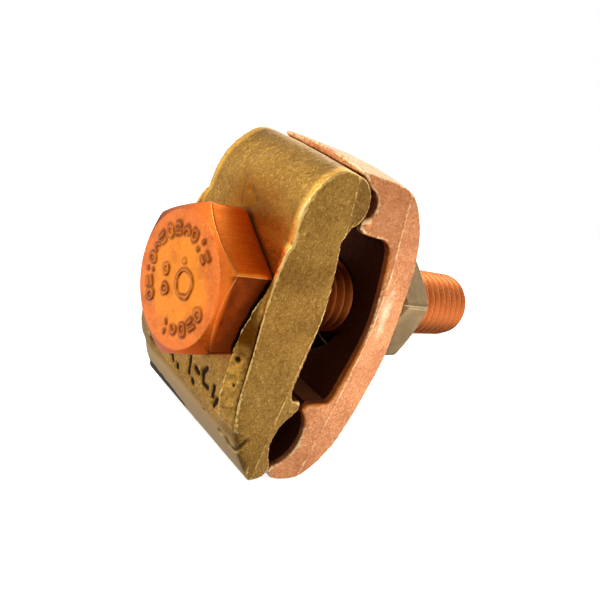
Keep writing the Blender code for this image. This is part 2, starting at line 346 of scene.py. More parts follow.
def hex_wear(points, chamfer_x, way, turn):
    """Wear on the corners of a hexagon and along the edge of its chamfer.

    way is +1 if the hexagon lies on the +X side of the chamfer, and -1 if not.
    """
    angles = np.arctan2(points[:, 1], points[:, 2])
    radius = from_axis(points)
    sector = from_corner(angles, turn)
    edge_x = chamfer_x + way * (hex_radius(angles, turn) - FLAT_R) * CHAMFER
    past = way * (points[:, 0] - edge_x)
    corner = ramp(sector * radius, 0.16, 0.03) * ramp(past, -0.3, 0.0)
    brim = ramp(np.abs(past), 0.13, 0.03) * ramp(radius, FLAT_R + 0.05, FLAT_R + 0.3)
    return np.maximum(corner, 0.8 * brim) * 0.5


def bolt_head():
    """The head with its raised marks and chamfer, and the plain shank up to the thread."""
    angles = np.linspace(0, math.tau, 480, endpoint=False)
    big = hex_radius(angles)
    rings = []
    for r in np.linspace(0.1, FLAT_R - 0.15, 78):
        row = ring(FACE_X, r, angles)
        near = head_marks(row[:, 1], row[:, 2])
        row[:, 0] -= MARK_RISE * ramp(near, 0.4, 0.12) * (0.8 + 0.2 * noise(row, 1.6, 83))
        row[:, 0] += 0.02 * noise(row, 1.3, 5) + 0.03 * ramp(r, 4.0, 0.0)
        rings.append(row)
    rings.append(ring(FACE_X + 0.02, FLAT_R - 0.02, angles))
    for t in np.linspace(0.03, 1.0, 14):
        radius = FLAT_R + t * (big - FLAT_R)
        x = CHAMFER_X + (radius - FLAT_R) * CHAMFER
        rings.append(ring(x, radius - 0.05 * (t > 0.99), angles))
    shoulder = CHAMFER_X + (big - FLAT_R) * CHAMFER
    for t in (0.015, 0.05, 0.12, 0.25, 0.4, 0.55, 0.7, 0.85, 0.97, 0.99):
        x = shoulder + t * (UNDERSIDE_X - 0.02 - shoulder)
        rings.append(ring(x, big - (0.04 if t > 0.98 else 0), angles))
    rings.append(ring(UNDERSIDE_X, big - 0.12, angles))
    for r in (9.2, 8.0, 6.9):
        rings.append(ring(UNDERSIDE_X, np.minimum(r, big), angles))
    rings.append(ring(UNDERSIDE_X + 0.02, SHANK_R + 0.25, angles))
    rings.append(ring(0.15, SHANK_R, angles))
    for x in np.arange(0.8, THREAD_START, 0.6):
        rings.append(ring(x, SHANK_R + 0.02 * math.sin(x * 3.1), angles))
    shank_end = THREAD_START - 0.02
    rings.append(ring(shank_end, SHANK_R, angles))
    obj = turned("bolt_head", rings, start=(FACE_X + 0.03, 0, 0), end=(shank_end, 0, 0))
    points, _ = read(obj.data)
    x, radius = points[:, 0], from_axis(points)
    store(obj.data, "wear_and_glint", hex_wear(points, CHAMFER_X, 1, 0.0))
    # Dirt and painted shade round the raised marks.
    near = head_marks(points[:, 1], points[:, 2])
    face_on = ramp(x, FACE_X + 0.1, FACE_X + 0.03) * ramp(radius, 8.9, 8.6)
    store(obj.data, "marks_and_shade", face_on * ramp(near, 0.62, 0.3) * (1 - 0.75 * ramp(near, 0.16, 0.0)))
    # Painted shade on the facet that faces down to the near rib, stored with the crevices.
    angles = np.degrees(np.arctan2(points[:, 1], points[:, 2]))
    low_side = ramp(np.abs(angles + 90), 31.0, 29.0) * ramp(x, CHAMFER_X + 0.2, CHAMFER_X + 1.2)
    store(obj.data, "crevice_and_shade", 0.9 * low_side * ramp(radius, FLAT_R, FLAT_R + 0.3))
    return obj


def thread_profile(t):
    """Depth from 0 at the root to 1 at the crest, for t from 0 to 1 along one pitch."""
    flank = np.clip((7 / 16 - np.abs(t - 0.5)) / (6 / 16), 0, 1)
    return 0.5 * flank + 0.5 * ramp(flank, 0, 1)


def bolt_thread():
    """A helical rod with rounded crests, cut flat at both ends."""
    around = 96
    stations = np.array([0.0, 0.05, 0.1, 0.18, 0.26, 0.34, 0.4, 0.44,
                         0.5, 0.56, 0.6, 0.66, 0.74, 0.82, 0.9, 0.95])
    x0, x1 = THREAD_START, BOLT_END
    first = math.floor(x0 / PITCH) - 2
    turns = math.ceil(x1 / PITCH) + 2 - first
    k = np.arange(turns * around + 1)
    angle = math.tau * k / around
    x = PITCH * (first + k[:, None] / around + stations[None, :])
    depth = thread_profile(stations)[None, :]
    run_in = ramp(x, x0 + 0.5, x0 + 4.5)
    run_out = ramp(x, x0 + 3.0, x0 + 0.2)
    radius = ROOT_R + 0.04 + (THREAD_R - ROOT_R) * depth * run_in + (SHANK_R - ROOT_R) * run_out
    end_chamfer = THREAD_R + 0.02 - (x - x1 + 1.15)
    radius = np.minimum(radius, np.maximum(ROOT_R - 0.35, end_chamfer))
    radius = np.minimum(radius, SHANK_R)
    y = -radius * np.sin(angle)[:, None]
    z = radius * np.cos(angle)[:, None]
    points = np.stack([x, y, z], axis=2).reshape(-1, 3)
    width = len(stations)
    faces = []
    for row in range(len(k) - 1 - around):
        here = [row * width + m for m in range(width)] + [(row + around) * width]
        after = [(row + 1) * width + m for m in range(width)] + [(row + 1 + around) * width]
        faces += [(here[m], here[m + 1], after[m + 1], after[m]) for m in range(width)]
    bm = bmesh.new()
    verts = [bm.verts.new(p * MM + SEAT) for p in points]
    for face in faces:
        bm.faces.new([verts[i] for i in face])
    bmesh.ops.delete(bm, geom=[v for v in bm.verts if not v.link_faces], context="VERTS")
    for where, keep in ((x0, -1), (x1, 1)):
        bmesh.ops.bisect_plane(
            bm, geom=bm.verts[:] + bm.edges[:] + bm.faces[:], dist=1e-8, clear_outer=True,
            plane_co=Vector(SEAT + np.array([where * MM, 0, 0])), plane_no=(keep, 0, 0))
    bmesh.ops.holes_fill(bm, edges=[e for e in bm.edges if e.is_boundary], sides=0)
    bmesh.ops.recalc_face_normals(bm, faces=bm.faces)
    mesh = bpy.data.meshes.new("bolt_thread")
    bm.to_mesh(mesh)
    bm.free()
    mesh.shade_smooth()
    mesh.set_sharp_from_angle(angle=math.radians(50))
    obj = link("bolt_thread", mesh)
    paint_edges(obj, gain=6.0, widen=1)
    return obj


# ---------------------------------------------------------------- nut and washer


def hex_nut():
    """A nut chamfered at both ends, with a threaded bore."""
    low, high = in_millimetres(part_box("hex_nut"))
    x0, x1 = low[0], high[0]
    half = (x1 - x0) / 2
    around = 288
    angles = np.linspace(0, math.tau, around, endpoint=False)
    big = hex_radius(angles, NUT_TURN)
    mouth = THREAD_R + 0.75
    outer = []
    for r in (mouth, mouth + 0.1, 7.6, 8.3, FLAT_R - 0.2, FLAT_R - 0.04):
        outer.append((0.0, np.full(around, r)))
    for t in np.linspace(0.04, 1.0, 9):
        radius = FLAT_R + t * (big - FLAT_R)
        outer.append(((radius - FLAT_R) * CHAMFER, radius))
    shoulder = (big - FLAT_R) * CHAMFER
    for t in (0.03, 0.1, 0.3, 0.6, 1.0):
        outer.append((shoulder + t * (half - shoulder), big))
    rings = [ring(x0 + inset, radius, angles) for inset, radius in outer]
    rings += [ring(x1 - inset, radius, angles) for inset, radius in reversed(outer[:-1])]
    for x in np.arange(x1 - 0.1, x0, -0.12):
        turn = (x / PITCH + angles / math.tau) % 1
        radius = ROOT_R + 0.2 + (THREAD_R - ROOT_R) * thread_profile(turn)
        rings.append(ring(x, np.maximum(radius, mouth - min(x - x0, x1 - x)), angles))
    obj = turned("nut", rings, closed=True)
    points, _ = read(obj.data)
    ends = hex_wear(points, x0, 1, NUT_TURN), hex_wear(points, x1, -1, NUT_TURN)
    store(obj.data, "wear_and_glint", np.maximum(*ends))
    return obj


def lock_washer():
    """A split ring with rounded edges, its cut gap degrees wide and slanting through it."""
    _, high = in_millimetres(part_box("lock_washer"))
    x0, x1 = LAND_X + WASHER_GAP, high[0]
    edge, cut = 0.22, 0.07
    gap, slant = 9.0, 2.0
    section = []
    for x, r, sx, sr in ((x0, WASHER_INNER, 1, 1), (x1, WASHER_INNER, -1, 1),
                         (x1, WASHER_OUTER, -1, -1), (x0, WASHER_OUTER, 1, -1)):
        corner = [(x + sx * edge, r), (x + sx * cut, r + sr * cut), (x, r + sr * edge)]
        section += corner if sx * sr > 0 else corner[::-1]
    section = np.array(section)
    rows = []
    for t in np.linspace(0, 1, 200):
        lean = (section[:, 0] - (x0 + x1) / 2) / (x1 - x0) * 2 * slant
        angles = np.radians(90 + gap / 2 + lean + (360 - gap) * t)
        rows.append(ring(section[:, 0], section[:, 1], angles))
    points = np.concatenate(rows)
    count = len(section)
    faces = ring_faces(len(rows), count)
    faces += [tuple(range(count)), tuple(range(len(points) - count, len(points)))]
    obj = made("washer", points, faces)
    obj.data.set_sharp_from_angle(angle=math.radians(60))
    paint_edges(obj, gain=8.0, widen=0)
    return obj


# ---------------------------------------------------------------- castings


def recast(name, node):
    """The CAD casting as a fine even mesh with softened edges."""
    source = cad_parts[node].data.copy()
    obj = link(name, source)
    obj.data.materials.clear()
    bm = bmesh.new()
    bm.from_mesh(source)
    bmesh.ops.remove_doubles(bm, verts=bm.verts, dist=WELD)
    bm.to_mesh(source)
    bm.free()
    remesh = obj.modifiers.new("even", "REMESH")
    remesh.mode = "VOXEL"
    remesh.voxel_size = VOXEL * MM
    bpy.context.view_layer.update()
    graph = bpy.context.evaluated_depsgraph_get()
    obj.data = bpy.data.meshes.new_from_object(obj.evaluated_get(graph))
    obj.data.name = name
    obj.modifiers.clear()
    mean = neighbours(obj.data)
    points, _ = read(obj.data)
    for _ in range(ROUNDING_PASSES):
        points = 0.5 * points + 0.5 * mean(points)
    write(obj.data, points)
    obj.data.shade_smooth()
    return obj


def side_face(points, normals):
    """1 on the flat sides of a jaw, 0 elsewhere."""
    return ramp(np.abs(normals[:, 1]), 0.9, 0.97) * ramp(np.abs(points[:, 1]), 7.0, 7.8)


def edge_distance(points):
    """Millimetres in from the nearer side face of a jaw."""
    return (WIDTH_MID - TAPER * points[:, 2]) / 2 - 0.3 - np.abs(points[:, 1])


def keep_inside(obj, node):
    """Pulls back points that stand a few micrometres out of the CAD piece's box."""
    points, _ = read(obj.data)
    low, high = in_millimetres(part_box(node))
    write(obj.data, np.clip(points, low, high))


def soften(obj, mask, passes):
    """Smooths the mesh more and more as the mask goes from 0 to 1."""
    points, _ = read(obj.data)
    mean = neighbours(obj.data)
    share = 0.8 * mask[:, None]
    for _ in range(passes):
        points = points + share * (mean(points) - points)
    write(obj.data, points)


def to_curve(points, path):
    """Distance in space to a path."""
    best = np.full(len(points), 1e9)
    for a, b in zip(np.array(path), np.array(path[1:])):
        t = np.clip((points - a) @ (b - a) / ((b - a) @ (b - a)), 0, 1)
        best = np.minimum(best, np.linalg.norm(points - a - t[:, None] * (b - a), axis=1))
    return best


def cast_skin(points, seed):
    """Height in millimetres of a sand-cast skin: slow waves, lumps and grains."""
    height = 0.05 * noise(points, 4.5, seed) + 0.03 * noise(points, 1.6, seed + 1)
    height += 0.022 * noise(points, 0.62, seed + 2) + 0.018 * noise(points, 0.36, seed + 3)
    return height


def dent(points, centre, radius, depth):
    """How deep a round pit is at each point."""
    away = np.linalg.norm(points - np.array(centre), axis=1)
    return depth * ramp(away, radius, radius * 0.25)


def front_marks(points, normals):
    """Recessed generic strokes on the floor below the head, from 0 to 1."""
    x, y, z = points.T
    strokes = (
        [(6.0, -14.6), (5.0, -14.5), (4.5, -15.1)], [(3.1, -15.1), (2.9, -15.5)],
        [(0.9, -12.3), (0.5, -13.3), (0.1, -14.6)], [(-0.9, -13.0), (-1.9, -13.3)],
        [(-3.4, -11.6), (-2.9, -12.6), (-3.7, -13.9), (-4.8, -13.9)],
        [(-1.1, -15.0), (-1.4, -15.3)],
        [(-6.0, -12.9), (-6.4, -14.2)], [(-7.5, -14.1), (-7.2, -15.3)],
    )
    nearest = np.min([to_path(y, z, stroke) for stroke in strokes], axis=0)
    nearest = nearest + 0.1 * noise(points, 0.8, 71)
    on_floor = ramp(normals[:, 0], -0.35, -0.6) * ramp(x, 1.6, 1.0) * ramp(x, -0.9, -0.5)
    return ramp(nearest, 0.56, 0.3) * on_floor


def gouge(points):
    """A shallow crescent at the foot of the near rib, running over onto the side."""
    bow = [(0.9, -11.2, -18.0), (1.0, -11.8, -18.7), (1.1, -12.7, -18.9),
           (1.0, -13.8, -18.2), (1.8, -13.9, -16.8)]
    return ramp(to_curve(points, bow) + 0.12 * noise(points, 0.6, 72), 0.68, 0.25)


def creases(points):
    """Two shallow folds in the skin of the heel, above the head, from 0 to 1."""
    folds = (
        [(0.4, 3.1, 15.0), (0.35, 2.7, 13.2), (0.35, 2.1, 11.3)],
        [(0.35, 1.3, 13.5), (0.4, 0.2, 13.4), (0.4, -0.8, 12.6)],
    )
    nearest = np.min([to_curve(points, fold) for fold in folds], axis=0)
    return ramp(nearest + 0.2 * noise(points, 0.7, 73), 0.75, 0.1)


# Pits in the front jaw: centre, radius and depth. The wide shallow ones are hollows in the skin.
FRONT_PITS = (
    ((-2.0, -10.6, -5.6), 0.55, 0.45), ((-1.7, -11.3, -9.1), 0.35, 0.3),
    ((0.8, -9.6, -18.1), 0.65, 0.4), ((0.5, -5.3, -17.4), 0.4, 0.25),
    ((-1.2, -10.9, -12.9), 0.35, 0.25), ((-1.7, -10.6, -8.1), 0.3, 0.25),
    ((4.0, 2.5, 20.4), 0.35, 0.2), ((7.4, 7.0, 20.8), 0.3, 0.25),
    ((0.3, 1.1, 13.2), 1.0, 0.12), ((0.1, 4.6, 11.6), 0.8, 0.1), ((0.3, -4.0, 14.0), 0.9, 0.08),
)


def blend_front_corners(obj, inward):
    """Melts the inner corners outside the front jaw: above the head and at the ribs' feet."""
    points, _ = read(obj.data)
    x, _, z = points.T
    shelf = ramp(inward, 0.9, 2.2) * ramp(z, 4.0, 6.0) * ramp(z, 14.5, 12.5)
    foot = ramp(inward, 0.9, 2.4) * ramp(z, -13.8, -15.6) * ramp(z, -20.8, -19.0)
    near_foot = ramp(z, -15.0, -16.6) * ramp(inward, 3.0, 2.0) * ramp(x, 3.6, 3.0)
    near_foot *= ramp(z, -23.6, -22.6)
    outside = ramp(x, 9.0, 7.5) * ramp(x, 4.5, 3.8)
    soften(obj, np.maximum.reduce([shelf, foot, near_foot]) * outside, 60)


def front_jaw():
    """The jaw that holds the bolt's head."""
    obj = recast("front_casting", "front_jaw")
    inward = edge_distance(read(obj.data)[0])
    blend_front_corners(obj, inward)
    points, normals = read(obj.data)
    x, y, z = points.T
    side = side_face(points, normals)

    # Skin: smooth below the toe's edge and under the head, lumpy on the near rib's bead.
    height = cast_skin(points, seed=10)
    smooth_toe = ramp(z, -15.6, -18.6) * ramp(normals[:, 0], -0.4, -0.7)
    seat = ramp(from_axis(points), 10.6, 9.6) * ramp(normals[:, 0], -0.8, -0.95)
    height *= 1 - 0.85 * np.maximum(smooth_toe, seat)
    bead = ramp(y, -7.5, -9.0) * ramp(inward, 0.6, 1.0) * ramp(x, 1.0, 0.0)
    bead *= ramp(np.abs(z + 9.5), 6.5, 5.0)
    height += bead * (0.06 * noise(points, 0.7, 65) + 0.04 * noise(points, 0.35, 66))

    # Bright lines: the mould's parting line, and two painted highlights on the near edge.
    flash = to_path(x, z, FRONT_PARTING)
    height += side * 0.05 * ramp(flash, 0.3, 0.05)
    line = side * ramp(flash, 0.24, 0.06) * (0.3 + 0.12 * noise(points, 1.5, 61))
    corner = ramp(inward, 1.0, 0.4) * ramp(np.abs(normals[:, 1]), 0.98, 0.9) * ramp(x, 4.0, 3.0)
    glint = np.maximum(ramp(np.abs(z - 15.0), 2.2, 0.6), ramp(np.abs(z - 8.0), 1.6, 0.4))
    line = np.maximum(line, corner * glint * (y < 0) * (0.8 + 0.3 * noise(points, 0.8, 67)))

    # Cuts: strokes on the floor, the crescent, the heel's folds and the pits.
    marks = front_marks(points, normals)
    bow = gouge(points)
    folds = creases(points)
    cut = 0.28 * marks + 0.2 * bow + 0.14 * folds
    pitted = np.zeros(len(points))
    for centre, radius, depth in FRONT_PITS:
        deep = dent(points, centre, radius, depth)
        cut += deep
        if depth > 0.15:
            pitted = np.maximum(pitted, deep / depth)

    # Wear and the painted highlights are read from the skin before the cuts go in, so that the
    # cuts' edges stay dull.
    write(obj.data, points + normals * height[:, None])
    paint_edges(obj, line)
    write(obj.data, points + normals * (height - cut)[:, None])
    keep_inside(obj, "front_jaw")
    # The cuts and pits are darkened: stains, and painted shade in the hollows.
    stains_and_shade = 0.68 * marks + 0.56 * bow + 0.8 * pitted + 0.38 * folds
    store(obj.data, "polish", np.maximum(smooth_toe, seat * 0.4))
    paint_front(obj, points, normals, stains_and_shade, bead)
    return obj


def paint_front(obj, points, normals, stains_and_shade, bead):
    """Stores where the front jaw is stained and painted with shade, highlights and reflections."""
    x, y, z = points.T
    inward = edge_distance(points)
    side = side_face(points, normals)
    outside = ramp(x, 9.0, 7.5)
    radius = from_axis(points)
    past_parting = x - parting_x(FRONT_PARTING, z)

    # Painted shade, stored with the stains: a dark groove beside the near bead, a shadow along the
    # toe's far edge, the inner faces, and a contact shadow round the head.
    groove = ramp(np.abs(inward - 0.42), 0.32, 0.1) * ramp(z, 2.5, -0.5) * ramp(z, -14.8, -12.5)
    groove *= ramp(normals[:, 0], -0.2, -0.45) * (y < 0)
    toe_shadow = ramp(z + 0.3 * noise(points, 1.1, 75) - 0.16 * (y - 8.0), -20.5, -21.3)
    toe_shadow *= ramp(y, 0.5, 4.0) * ramp(x, 6.0, 5.0)
    inside = ramp(inward, 0.4, 1.0) * ramp(normals[:, 0], 0.1, 0.3)
    gap = radius - hex_radius(np.arctan2(y, z))
    contact = ramp(gap, 1.3, 0.2) * ramp(normals[:, 0], -0.4, -0.7) * ramp(z, -2.0, 2.0)
    stains_and_shade = stains_and_shade + 0.6 * groove + toe_shadow + 0.4 * inside + 0.45 * contact
    store(obj.data, "marks_and_shade", np.clip(stains_and_shade, 0, 1))

    # Painted highlights: a golden band along the upper outer edges, and bright spots on the near
    # bead.
    rim = ramp(inward, 1.5, 0.7) * ramp(z, -1.0, 2.0) * ramp(np.abs(normals[:, 1]), 0.95, 0.8)
    rim *= outside
    store(obj.data, "rim", np.maximum(rim, bead * (0.45 + 0.4 * noise(points, 0.9, 64))))
    # Painted reflection: the copper jaw's pink reflection on the heel's top behind the parting
    # line.
    lip = ramp(past_parting, -1.0, -0.4)
    lip *= ramp(z, 17.0, 19.0) * ramp(np.abs(normals[:, 1]), 0.8, 0.5)
    store(obj.data, "lip", lip)
    # Painted reflection of the orange head, darkened as painted shade, on the jaw round the head.
    warm_reflection = ramp(radius, 18.5, 12.0) * ramp(z, -10.0, -3.0) * outside
    warm_reflection *= ramp(np.abs(normals[:, 1]), 0.95, 0.75) * 0.85 + 0.15
    warm_reflection *= ramp(y, 7.0, 2.0) * (0.8 + 0.2 * noise(points, 2.0, 63))
    store(obj.data, "warm_reflection", warm_reflection)

    beside_head = ramp(to_curve(points, [(-1.0, -9.8, 4.0), (-2.0, -10.2, -4.5)]), 3.2, 0.9)
    beside_head *= ramp(np.abs(normals[:, 1]), 0.97, 0.9)
    above_head = ramp(radius, 15.5, 11.0) * ramp(z, 3.0, 8.0)
    above_head *= 0.75 * ramp(y, 4.0, -3.0) * outside
    behind = 0.55 * side * ramp(past_parting, 0.0, 0.5) * ramp(z, -6.0, 8.0)
    store(obj.data, "shade", np.maximum.reduce([beside_head, above_head, behind]))


def washer_land(obj):
    """Carries the flat that the washer bears on right round the bolt, as a low boss."""
    points, normals = read(obj.data)
    x, _, z = points.T
    radius = from_axis(points)
    outer = (normals[:, 0] > 0.6) & (x > 20) & (radius > 8)

    # How far back the jaw reaches beside the slot, in slices half a millimetre high.
    steps = np.arange(-26.0, 24.0, 0.5)
    middles = np.append(steps, steps[-1] + 0.5) - 0.25
    which = np.digitize(z[outer], steps)
    slices = [x[outer][which == i] for i in range(len(middles))]
    backs = np.array([part.max() if len(part) else 0 for part in slices])
    back = np.interp(z, middles[backs > 0], backs[backs > 0])

    share = ramp(radius, 12.0, 10.8) * (x > ROOT_X)
    stretch = (LAND_X - ROOT_X) / np.maximum(np.minimum(back, LAND_X) - ROOT_X, 1.0)
    points[:, 0] += share * (x - ROOT_X) * (stretch - 1)
    write(obj.data, points)


def rear_jaw():
    """The bowed jaw that the nut draws shut."""
    obj = recast("rear_casting", "rear_jaw")
    washer_land(obj)
    points, normals = read(obj.data)
    x, _, z = points.T
    inward = edge_distance(points)
    side = side_face(points, normals)
    radius = from_axis(points)

    # Skin, parting line, and three drips of metal below the socket.
    height = cast_skin(points, seed=40)
    flash = to_path(x, z, REAR_PARTING)
    height += side * 0.06 * ramp(flash, 0.45, 0.05)
    line = side * ramp(flash, 0.5, 0.06) * (0.3 + 0.12 * noise(points, 1.5, 62))
    drips = np.zeros(len(points))
    for centre, size in (((12.9, -8.0, 18.7), 1.1), ((12.3, -9.2, 15.3), 1.2),
                         ((11.9, -9.2, 13.9), 0.9)):
        drips = np.maximum(drips, dent(points, centre, size, 1.0))
    height += 0.18 * drips
    # The drips also get painted highlights.
    line = np.maximum(line, 0.3 * drips)
    land = ramp(normals[:, 0], 0.8, 0.95) * ramp(radius, 11.5, 10.6)
    height *= 1 - 0.8 * land
    write(obj.data, points + normals * height[:, None])
    keep_inside(obj, "rear_jaw")

    # Painted glints: the recess's edge and the drips are painted red-orange, and the edge is kept
    # little worn.
    brink = ramp(inward, 1.0, 0.3) * ramp(np.abs(normals[:, 1]), 0.98, 0.88)
    brink *= ramp(x, 20.5, 19.5) * ramp(np.abs(z + 1.0), 15.5, 14.0)
    paint_edges(obj, line, 0.85 * brink)
    store(obj.data, "warm_reflection", np.maximum(brink, 0.7 * drips))

    # Painted shade: the recess's inner face, its walls and the bolt slot are painted nearly black.
    inside = ramp(inward, 0.5, 1.0) * ramp(normals[:, 0], -0.1, -0.3) * ramp(z, 16.5, 15.0)
    walls = ramp(inward, 0.5, 1.0) * ramp(np.abs(normals[:, 2]), 0.5, 0.8) * ramp(x, 19.0, 17.0)
    walls *= ramp(np.abs(z + 1), 14.5, 13.5)
    slot = ramp(radius, 10.3, 9.9) * ramp(x, 19.0, 20.0)
    slot *= ramp(normals[:, 0], 0.95, 0.8)
    store(obj.data, "marks_and_shade", np.maximum.reduce([0.7 * inside, 0.42 * walls, 0.8 * slot]))

    store(obj.data, "polish", land * 0.6)
    # Painted highlight: a bright spot on the side near the back.
    glint = np.hypot(x - 22.6, (z - 2.5) * 0.3) + 0.5 * noise(points, 1.2, 55)
    store(obj.data, "rim", side * ramp(glint, 1.5, 0.2))
    store(obj.data, "lip", np.zeros(len(points)))
    before = side * ramp(x - parting_x(REAR_PARTING, z), 0.0, -0.6)
    store(obj.data, "shade", 0.25 * before * ramp(z, -8.0, 12.0))
    return obj


# ---------------------------------------------------------------- materials


class Shader:
    """A small wrapper that adds nodes and joins sockets."""

    def __init__(self, name):
        self.material = bpy.data.materials.new(name)
        self.material.use_nodes = True
        self.tree = self.material.node_tree
        self.bsdf = self.tree.nodes["Principled BSDF"]
        self.where = self.node("ShaderNodeTexCoord").outputs["Object"]

    def node(self, kind, inputs=(), **settings):
        """A new node. inputs gives a value or another node's socket for each input."""
        node = self.tree.nodes.new(kind)
        for key, value in settings.items():
            setattr(node, key, value)
        for key, value in dict(inputs).items():
            self.feed(node.inputs[key], value)
        return node

    def feed(self, socket, value):
        if isinstance(value, bpy.types.NodeSocket):
            self.tree.links.new(value, socket)
        elif isinstance(value, (tuple, list)) and len(value) == 3 and socket.type == "RGBA":
            socket.default_value = (*value, 1)
        else:
            socket.default_value = value

    def noise(self, size, detail, roughness, stretch=None):
        """Noise with lumps of about the given size in millimetres."""
        where = self.where
        if stretch:
            where = self.vector_math("MULTIPLY", where, stretch)
        return self.node("ShaderNodeTexNoise", {
            "Vector": where, "Scale": 1 / (size * MM * 2), "Detail": detail,
            "Roughness": roughness}).outputs["Fac"]

    def painted(self, name):
        """A number stored on the mesh's points."""
        return self.node("ShaderNodeAttribute", attribute_name=name).outputs["Fac"]

    def between(self, value, low, high, to_low=0.0, to_high=1.0):
        """Goes smoothly from to_low to to_high as the value goes from low to high."""
        return self.node("ShaderNodeMapRange", {
            "Value": value, "From Min": low, "From Max": high, "To Min": to_low, "To Max": to_high},
            interpolation_type="SMOOTHSTEP").outputs["Result"]

    def math(self, operation, a, b):
        return self.node("ShaderNodeMath", {0: a, 1: b}, operation=operation).outputs[0]

    def vary(self, value, pattern, amount):
        """The value, made uneven by a noise pattern."""
        uneven = self.math("MULTIPLY", self.math("SUBTRACT", pattern, 0.5), amount)
        return self.math("ADD", value, uneven)

    def along(self, axis):
        """Millimetres from SEAT along an axis."""
        place = self.node("ShaderNodeSeparateXYZ", {0: self.where}).outputs[axis]
        offset = self.math("SUBTRACT", place, float(SEAT["XYZ".index(axis)]))
        return self.math("MULTIPLY", offset, 1000.0)

    def from_axis(self):
        """Millimetres from the bolt's axis."""
        offset = self.vector_math("ADD", self.where, tuple(-SEAT))
        flat = self.vector_math("MULTIPLY", offset, (0, 1, 1))
        length = self.node("ShaderNodeVectorMath", {0: flat}, operation="LENGTH").outputs["Value"]
        return self.math("MULTIPLY", length, 1000.0)

    def vector_math(self, operation, a, b):
        return self.node("ShaderNodeVectorMath", {0: a, 1: b}, operation=operation).outputs[0]

    def mix(self, factor, a, b, mode="MIX"):
        node = self.node("ShaderNodeMix", data_type="RGBA", blend_type=mode)
        self.feed(node.inputs[0], factor)
        self.feed(node.inputs[6], a)
        self.feed(node.inputs[7], b)
        return node.outputs[2]

    def bump(self, height, strength, distance, normal=None):
        """A bump of a height pattern, distance millimetres deep, over an earlier one."""
        inputs = {"Height": height, "Strength": strength, "Distance": distance * MM}
        if normal:
            inputs["Normal"] = normal
        return self.node("ShaderNodeBump", inputs).outputs["Normal"]

    def finish(self, colour, roughness, normal, metallic=1.0, specular=0.5):
        """Feeds the surface and gives back the material."""
        self.feed(self.bsdf.inputs["Base Color"], colour)
        self.feed(self.bsdf.inputs["Roughness"], roughness)
        self.feed(self.bsdf.inputs["Normal"], normal)
        self.bsdf.inputs["Metallic"].default_value = metallic
        self.bsdf.inputs["Specular IOR Level"].default_value = specular
        return self.material


def grey(value):
    return value, value, value


def cast_bronze(name, dark, mid, light, bright, grime_and_shade, polished, rim, lip, warm_reflection, dark_stain_and_shade):
    """A cast skin: speckled grain, mottling, bright worn edges and painted glints, dark crevices
    with painted shade, smoother patches.

    dark to bright are the grain's colours. The others are the colours of what is painted on: dirt,
    polish, stains, and painted highlights, reflections and shade.
    """
    s = Shader(name)
    grain = s.noise(0.10, 3.0, 0.8)
    lumps = s.noise(0.22, 2.0, 0.6)
    mottle = s.noise(2.2, 3.0, 0.6)
    speck = s.math("ADD", s.math("MULTIPLY", grain, 0.62), s.math("MULTIPLY", lumps, 0.38))
    colour = s.mix(s.between(speck, 0.34, 0.5), dark, mid)
    colour = s.mix(s.between(speck, 0.52, 0.64), colour, light)
    colour = s.mix(s.between(speck, 0.6, 0.68, 0.0, 0.8), colour, bright)
    colour = s.mix(s.between(mottle, 0.46, 0.7, 0.0, 0.42), colour, dark)
    colour = s.mix(s.between(mottle, 0.5, 0.32, 0.0, 0.2), colour, light)
    smooth = s.painted("polish")
    patchy = s.math("ADD", smooth, s.math("MULTIPLY", mottle, 0.3))
    colour = s.mix(s.between(patchy, 0.35, 0.95), colour, polished)
    # Painted warm reflections and glints.
    colour = s.mix(s.math("MULTIPLY", s.painted("warm_reflection"), 0.88), colour, warm_reflection)
    colour = s.mix(s.painted("shade"), colour, (0.42, 0.33, 0.24), "MULTIPLY")
    # Painted highlights on edges and spots.
    speckled_rim = s.math("MULTIPLY", s.painted("rim"), s.between(speck, 0.34, 0.58, 0.35, 0.9))
    colour = s.mix(speckled_rim, colour, rim)
    # Painted reflection of the other jaw.
    colour = s.mix(s.math("MULTIPLY", s.painted("lip"), 0.75), colour, lip)
    # Crevices darkened: grime and painted shade.
    crevice_and_shade = s.painted("crevice_and_shade")
    colour = s.mix(s.between(crevice_and_shade, 0.12, 0.6, 0.0, 0.8), colour, grime_and_shade)
    # Worn edges and painted glints, the strongest drawn nearly white.
    wear_and_glint = s.vary(s.painted("wear_and_glint"), lumps, 0.5)
    worn_and_glinting = s.between(wear_and_glint, 0.2, 0.42)
    colour = s.mix(worn_and_glinting, colour, bright)
    colour = s.mix(s.between(wear_and_glint, 0.5, 0.95, 0.0, 0.35), colour, (1.0, 0.84, 0.54))
    # Stains, and painted shade in hollows, recesses and beside parts, drawn nearly black.
    marks_and_shade = s.painted("marks_and_shade")
    colour = s.mix(s.between(marks_and_shade, 0.25, 0.7, 0.0, 0.94), colour, dark_stain_and_shade)
    rough = s.between(grain, 0.3, 0.7, CAST_ROUGHNESS + 0.08, CAST_ROUGHNESS - 0.08)
    rough = s.mix(worn_and_glinting, rough, grey(0.36))
    rough = s.mix(s.between(smooth, 0.3, 0.9, 0.0, 0.7), rough, grey(0.33))
    rough = s.mix(s.between(marks_and_shade, 0.3, 0.7), rough, grey(0.62))
    normal = s.bump(lumps, 0.5, 0.09)
    normal = s.bump(grain, 0.55, 0.05, normal)
    return s.finish(colour, rough, normal)


